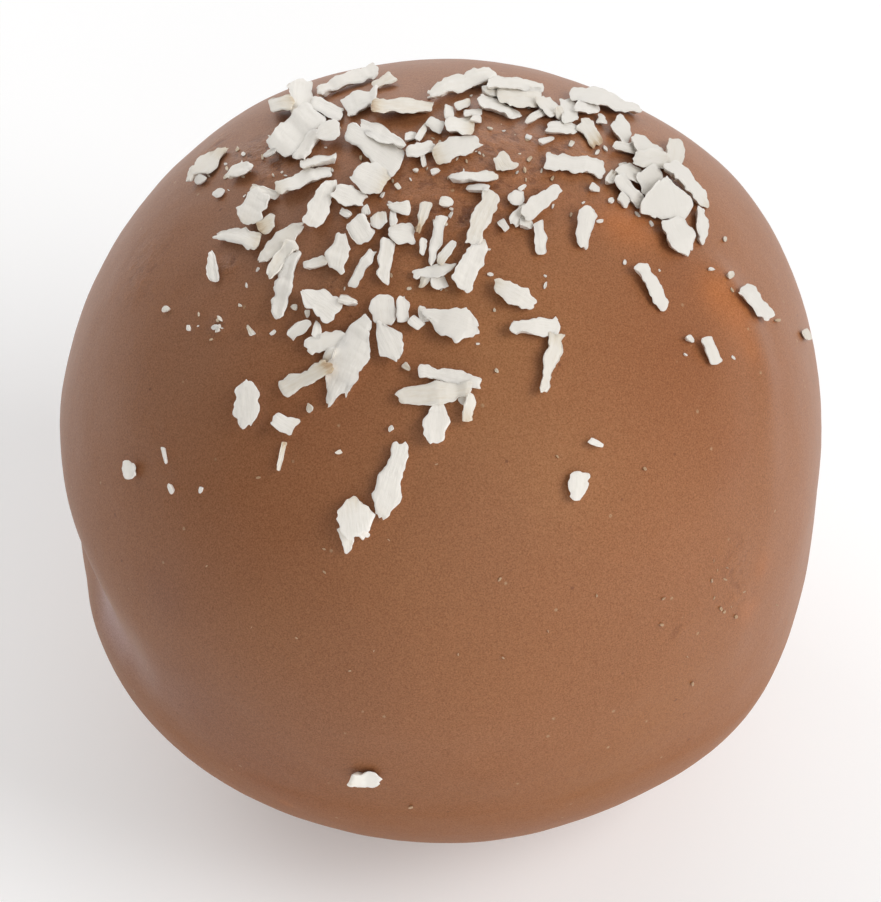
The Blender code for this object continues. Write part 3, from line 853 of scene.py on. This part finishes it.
def build_crumbs():
    """All crumbs, dust and tan specks as one piece."""
    draw = random.Random(SEED + 1)
    heap = Heap()
    for across, up, size in CRUMBS:
        add_crumb(heap, across, up, size, draw)
    for count, middle, reach, tan in DUST:
        for _ in range(count):
            across = draw.gauss(middle[0], reach[0])
            up = draw.gauss(middle[1], reach[1])
            if math.hypot(across, up) * MM < DUST_LIMIT:
                add_crumb(heap, across, up, draw.uniform(*DUST_SIZES), draw, tan)
    return heap.build("coconut_crumbs")


# Geometry of the chocolate

def relief(direction):
    """Fine unevenness of the set chocolate in a direction, in metres."""
    point = Vector(direction)
    return sum(noise.noise(point * waves + Vector(start)) * height for waves, start, height in RELIEF)


def spot_strength(directions, spots):
    """How strongly each direction of the ball lies in any of the spots, from 0 to 1."""
    strength = np.zeros(len(directions))
    for across, up, radius, most in spots:
        middle = unit(seen_point(np.array((across, up)) * MM, 0))
        distance = np.linalg.norm(directions - middle, axis=-1)
        spread = math.degrees(radius * MM / BALL_RADIUS)
        strength = 1 - (1 - strength) * (1 - most * bump(distance, spread))
    return strength


def build_ball():
    """The chocolate: a cube blown up to the ball, with the strength of its spots at each point."""
    bpy.ops.mesh.primitive_cube_add(size=2)
    ball = bpy.context.active_object
    ball.name = "chocolate_ball"
    cuts = ball.modifiers.new("cuts", "SUBSURF")
    cuts.subdivision_type = "SIMPLE"
    cuts.levels = BALL_CUTS
    cuts.render_levels = BALL_CUTS
    bpy.ops.object.modifier_apply(modifier=cuts.name)
    mesh = ball.data
    points = np.empty(len(mesh.vertices) * 3, np.float32)
    mesh.vertices.foreach_get("co", points)
    # The tangent spreads the faces of the cube, which reaches from -1 to 1, evenly.
    directions = unit(np.tan(points.reshape(-1, 3).astype(float) * math.pi / 4))
    radius = ball_radius(directions) + np.array([relief(direction) for direction in directions])
    points = directions * radius[:, None] + MIDDLE
    # The foot is flat, with a soft edge.
    points[:, 2] = (points[:, 2] + np.sqrt(points[:, 2] ** 2 + FOOT_EDGE ** 2)) / 2
    mesh.vertices.foreach_set("co", points.astype(np.float32).ravel())
    strengths = {name: spot_strength(directions, spots) for name, spots in SPOTS.items()}
    # A pale tint along the crease, a painted reflection, which also raises the shine there.
    strengths["crease_sheen"] = fold_size(directions, CREASE_SHEEN, CREASE_SHEEN_SPREAD)
    for name, strength in strengths.items():
        layer = mesh.attributes.new(name, "FLOAT", "POINT")
        layer.data.foreach_set("value", strength.astype(np.float32))
    mesh.update()
    mesh.shade_smooth()
    return ball


# Materials

def new_material(name):
    """A new material, with its nodes, its links and its shader."""
    material = bpy.data.materials.new(name)
    material.use_nodes = True
    tree = material.node_tree
    return material, tree.nodes, tree.links, tree.nodes["Principled BSDF"]


def noise_node(nodes, links, coordinates, scale, detail, roughness=0.5):
    """Smooth noise over coordinates."""
    node = nodes.new("ShaderNodeTexNoise")
    node.inputs["Scale"].default_value = scale
    node.inputs["Detail"].default_value = detail
    node.inputs["Roughness"].default_value = roughness
    links.new(coordinates, node.inputs["Vector"])
    return node


def cell_node(nodes, links, coordinates, scale):
    """Cells with a distance from the nearest cell's middle and a random color for each."""
    node = nodes.new("ShaderNodeTexVoronoi")
    node.inputs["Scale"].default_value = scale
    links.new(coordinates, node.inputs["Vector"])
    return node


def math_node(nodes, links, operation, first, second):
    """The result of an operation on two values, each a socket or a number."""
    node = nodes.new("ShaderNodeMath")
    node.operation = operation
    for value, socket in ((first, node.inputs[0]), (second, node.inputs[1])):
        if isinstance(value, (int, float)):
            socket.default_value = value
        else:
            links.new(value, socket)
    return node.outputs["Value"]


def mix_node(nodes, links, blend, share, first, second):
    """Two colors mixed by a share, the second and the share each a socket or a constant."""
    node = nodes.new("ShaderNodeMix")
    node.data_type = "RGBA"
    node.blend_type = blend
    inputs = {socket.identifier: socket for socket in node.inputs}
    outputs = {socket.identifier: socket for socket in node.outputs}
    links.new(first, inputs["A_Color"])
    for value, socket in ((share, inputs["Factor_Float"]), (second, inputs["B_Color"])):
        if isinstance(value, (int, float, tuple)):
            socket.default_value = value
        else:
            links.new(value, socket)
    return outputs["Result_Color"]


def attribute_node(nodes, name):
    """The value that a mesh holds for each point under a name."""
    node = nodes.new("ShaderNodeAttribute")
    node.attribute_name = name
    return node.outputs["Fac"]


def ramp_node(nodes, links, value, stops, interpolation="LINEAR"):
    """Colors for a value, given at stops."""
    node = nodes.new("ShaderNodeValToRGB")
    ramp = node.color_ramp
    ramp.interpolation = interpolation
    while len(ramp.elements) < len(stops):
        ramp.elements.new(0.5)
    for element, (position, color) in zip(ramp.elements, stops):
        element.position = position
        element.color = color
    links.new(value, node.inputs["Fac"])
    return node


def bump_node(nodes, links, height, distance, strength, before=None):
    """A surface tilted by a height, over that of the bump before it."""
    node = nodes.new("ShaderNodeBump")
    node.inputs["Distance"].default_value = distance
    node.inputs["Strength"].default_value = strength
    links.new(height, node.inputs["Height"])
    if before is not None:
        links.new(before.outputs["Normal"], node.inputs["Normal"])
    return node


def tinted_chocolate(nodes, links, place):
    """The color of milk chocolate with a slight mottle and the spots of other tints."""
    mottle = noise_node(nodes, links, place, scale=110, detail=4)
    color = ramp_node(nodes, links, mottle.outputs["Fac"], (
        (0.3, (0.270, 0.108, 0.0435, 1)),
        (0.7, (0.297, 0.1195, 0.0495, 1)),
    )).outputs["Color"]
    # Painted light among the tints: cool shade paints shade, crease sheen paints a reflection, and dust
    # and sheen is partly a painted reflection.
    for name, tint in SPOT_TINTS.items():
        color = mix_node(nodes, links, "MIX", attribute_node(nodes, name), color, tint)
    return color


def with_scuffs(nodes, links, place, color):
    """The color with dark and pale scuffs where it is scuffed, and the height of the scuffs."""
    scuffs = noise_node(nodes, links, place, scale=1700, detail=5, roughness=0.6)
    shade = ramp_node(nodes, links, scuffs.outputs["Fac"], (
        (0.39, (0.52, 0.42, 0.36, 1)),
        (0.45, (1.0, 1.0, 1.0, 1)),
        (0.57, (1.0, 1.0, 1.0, 1)),
        (0.64, (1.35, 1.3, 1.2, 1)),
    ))
    scuffed = attribute_node(nodes, "scuffed")
    height = math_node(nodes, links, "MULTIPLY", scuffs.outputs["Fac"], scuffed)
    return mix_node(nodes, links, "MULTIPLY", scuffed, color, shade.outputs["Color"]), height


def with_specks(nodes, links, place, color):
    """The color with small specks, some dark and more of them tan."""
    specks = cell_node(nodes, links, place, scale=950)
    tint = ramp_node(nodes, links, specks.outputs["Color"], (
        (0.0, (0.14, 0.048, 0.021, 1)),
        (0.35, (0.42, 0.28, 0.16, 1)),
    ), "CONSTANT")
    share = ramp_node(nodes, links, specks.outputs["Distance"], (
        (0.04, (0.6, 0.6, 0.6, 1)),
        (0.08, (0, 0, 0, 1)),
    ))
    return mix_node(nodes, links, "MIX", share.outputs["Color"], color, tint.outputs["Color"])


def with_grain(nodes, links, place, color):
    """The color with a fine grain all over."""
    grain = noise_node(nodes, links, place, scale=17000, detail=2, roughness=0.7)
    shade = ramp_node(nodes, links, grain.outputs["Fac"], (
        (0.3, (0.74, 0.67, 0.56, 1)),
        (0.7, (1.26, 1.33, 1.44, 1)),
    ))
    return mix_node(nodes, links, "MULTIPLY", 1.0, color, shade.outputs["Color"])


def chocolate_shine(nodes, links, place):
    """How much the chocolate shines: more high up, and more in the dust and sheen spots and along the
    crease sheen.
    """
    height = nodes.new("ShaderNodeSeparateXYZ")
    links.new(place, height.inputs["Vector"])
    shine = nodes.new("ShaderNodeMapRange")
    links.new(height.outputs["Z"], shine.inputs["Value"])
    shine.inputs["From Min"].default_value = DULL_HEIGHT
    shine.inputs["From Max"].default_value = BRIGHT_HEIGHT
    shine.inputs["To Min"].default_value = DULL_SHINE
    shine.inputs["To Max"].default_value = BRIGHT_SHINE
    pale = math_node(nodes, links, "ADD", attribute_node(nodes, "dust_and_sheen"), attribute_node(nodes, "crease_sheen"))
    sheen = math_node(nodes, links, "MULTIPLY", pale, PALE_SHINE)
    return math_node(nodes, links, "ADD", shine.outputs["Result"], sheen)


def chocolate_material():
    """Milk chocolate with spots, scuffs, specks, grain and slight lumps."""
    material, nodes, links, shader = new_material("milk_chocolate")
    place = nodes.new("ShaderNodeTexCoord").outputs["Object"]
    color = tinted_chocolate(nodes, links, place)
    color, scuff_height = with_scuffs(nodes, links, place, color)
    color = with_specks(nodes, links, place, color)
    color = with_grain(nodes, links, place, color)
    links.new(color, shader.inputs["Base Color"])
    links.new(chocolate_shine(nodes, links, place), shader.inputs["Specular IOR Level"])
    shader.inputs["Roughness"].default_value = 0.42
    shader.inputs["IOR"].default_value = 1.45
    shader.inputs["Subsurface Weight"].default_value = 0.12
    shader.inputs["Subsurface Radius"].default_value = (1.0, 0.5, 0.3)
    shader.inputs["Subsurface Scale"].default_value = 0.6 * MM
    lumps = noise_node(nodes, links, place, scale=900, detail=3, roughness=0.55).outputs["Fac"]
    fine = noise_node(nodes, links, place, scale=5200, detail=3, roughness=0.6).outputs["Fac"]
    lumpy = bump_node(nodes, links, lumps, distance=0.03 * MM, strength=0.35)
    worn = bump_node(nodes, links, scuff_height, distance=0.2 * MM, strength=0.7, before=lumpy)
    grained = bump_node(nodes, links, fine, distance=0.012 * MM, strength=0.5, before=worn)
    links.new(grained.outputs["Normal"], shader.inputs["Normal"])
    return material


def coconut_material():
    """Coconut with lengthwise fibres, from tan and beige to white by the tone of each flake."""
    material, nodes, links, shader = new_material("coconut")
    place = nodes.new("ShaderNodeUVMap")
    place.uv_map = "grain"
    stretch = nodes.new("ShaderNodeMapping")
    stretch.inputs["Scale"].default_value = (0.7, 4.0, 1.0)
    links.new(place.outputs["UV"], stretch.inputs["Vector"])
    fibres = noise_node(nodes, links, stretch.outputs["Vector"], scale=2.2, detail=4, roughness=0.6)
    fibre_tone = math_node(nodes, links, "MULTIPLY", fibres.outputs["Fac"], FIBRE_TONE)
    tone = math_node(nodes, links, "ADD", attribute_node(nodes, "tone"), fibre_tone)
    tint = ramp_node(nodes, links, tone, (
        (0.2, (0.40, 0.25, 0.14, 1)),
        (0.35, (0.56, 0.44, 0.30, 1)),
        (0.45, (0.66, 0.578, 0.458, 1)),
        (0.75, (0.745, 0.698, 0.622, 1)),
        (1.0, (0.775, 0.737, 0.676, 1)),
    ))
    # Painted fill light: the tint is made lighter towards the left, lower down and on the undersides.
    painted_fill = attribute_node(nodes, "painted_fill")
    color = mix_node(nodes, links, "MULTIPLY", 1.0, tint.outputs["Color"], painted_fill)
    links.new(color, shader.inputs["Base Color"])
    shader.inputs["Roughness"].default_value = 0.55
    shader.inputs["Subsurface Weight"].default_value = 0.3
    shader.inputs["Subsurface Radius"].default_value = (1.0, 1.0, 1.0)
    shader.inputs["Subsurface Scale"].default_value = 0.25 * MM
    fibrous = bump_node(nodes, links, fibres.outputs["Fac"], distance=0.05 * MM, strength=0.5)
    links.new(fibrous.outputs["Normal"], shader.inputs["Normal"])
    return material


def floor_material():
    """A matt pale floor that glows a little, so that it stays white."""
    material, nodes, links, shader = new_material("pale_floor")
    place = nodes.new("ShaderNodeTexCoord").outputs["Object"]
    mottle = noise_node(nodes, links, place, scale=30, detail=2)
    tint = ramp_node(nodes, links, mottle.outputs["Fac"], (
        (0.3, (0.74, 0.74, 0.74, 1)),
        (0.7, (0.76, 0.76, 0.76, 1)),
    ))
    links.new(tint.outputs["Color"], shader.inputs["Base Color"])
    shader.inputs["Roughness"].default_value = 0.9
    shader.inputs["Specular IOR Level"].default_value = 0.0
    shader.inputs["Emission Color"].default_value = (1, 1, 1, 1)
    shader.inputs["Emission Strength"].default_value = FLOOR_GLOW
    return material


# Stage

def add_camera():
    """The camera at the angle of the shown side, with the frame at the ball's middle."""
    data = bpy.data.cameras.new("camera")
    data.lens = data.sensor_width * VIEW_DISTANCE / FRAME_HEIGHT
    data.clip_start = NEAREST_SEEN
    data.clip_end = FARTHEST_SEEN
    camera = bpy.data.objects.new("camera", data)
    camera.location = MIDDLE + TOWARD_VIEWER * VIEW_DISTANCE
    camera.rotation_euler = Vector(TOWARD_VIEWER).to_track_quat("Z", "Y").to_euler()
    bpy.context.scene.collection.objects.link(camera)
    bpy.context.scene.camera = camera


def add_soft_light(name, location, power):
    """A square soft light that faces the truffle and shows no glint of itself on it."""
    data = bpy.data.lights.new(name, "AREA")
    data.shape = "SQUARE"
    data.size = LIGHT_SIZE
    data.energy = power
    light = bpy.data.objects.new(name, data)
    light.location = location
    aim = Vector(location) - Vector(MIDDLE)
    light.rotation_euler = aim.to_track_quat("Z", "Y").to_euler()
    light.visible_glossy = False
    bpy.context.scene.collection.objects.link(light)


def tent_world():
    """The white tent round the stage, a sum of broad glows."""
    world = bpy.data.worlds.new("tent")
    world.use_nodes = True
    nodes = world.node_tree.nodes
    links = world.node_tree.links
    place = nodes.new("ShaderNodeTexCoord").outputs["Generated"]
    total = 0.0
    for aim, tightness, brightness in TENT_GLOWS:
        dot = nodes.new("ShaderNodeVectorMath")
        dot.operation = "DOT_PRODUCT"
        dot.inputs[1].default_value = Vector(aim).normalized()
        links.new(place, dot.inputs[0])
        # From 0 on the side away from the glow to 1 at its middle
        half = math_node(nodes, links, "MULTIPLY", dot.outputs["Value"], 0.5)
        near = math_node(nodes, links, "ADD", half, 0.5)
        share = math_node(nodes, links, "POWER", near, tightness)
        glow = math_node(nodes, links, "MULTIPLY", share, brightness)
        total = math_node(nodes, links, "ADD", glow, total)
    links.new(total, nodes["Background"].inputs["Color"])
    nodes["Background"].inputs["Strength"].default_value = 1.0
    return world


def add_stage():
    """The floor, the tent and the lights."""
    bpy.ops.mesh.primitive_plane_add(size=FLOOR_SIZE)
    floor = bpy.context.active_object
    floor.name = "floor"
    floor.data.materials.append(floor_material())
    bpy.context.scene.world = tent_world()
    for name, (location, power) in SOFT_LIGHTS.items():
        add_soft_light(name, location, power)
    bpy.context.scene.view_settings.view_transform = "Standard"


def main():
    """The truffle's three pieces on the stage, in front of the camera."""
    add_camera()
    add_stage()
    ball = build_ball()
    ball.data.materials.append(chocolate_material())
    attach(ball, "root")
    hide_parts("truffle")
    coconut = coconut_material()
    for piece in (build_flakes(), build_crumbs()):
        piece.data.materials.append(coconut)
        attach(piece, "root")
        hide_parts("truffle")


main()
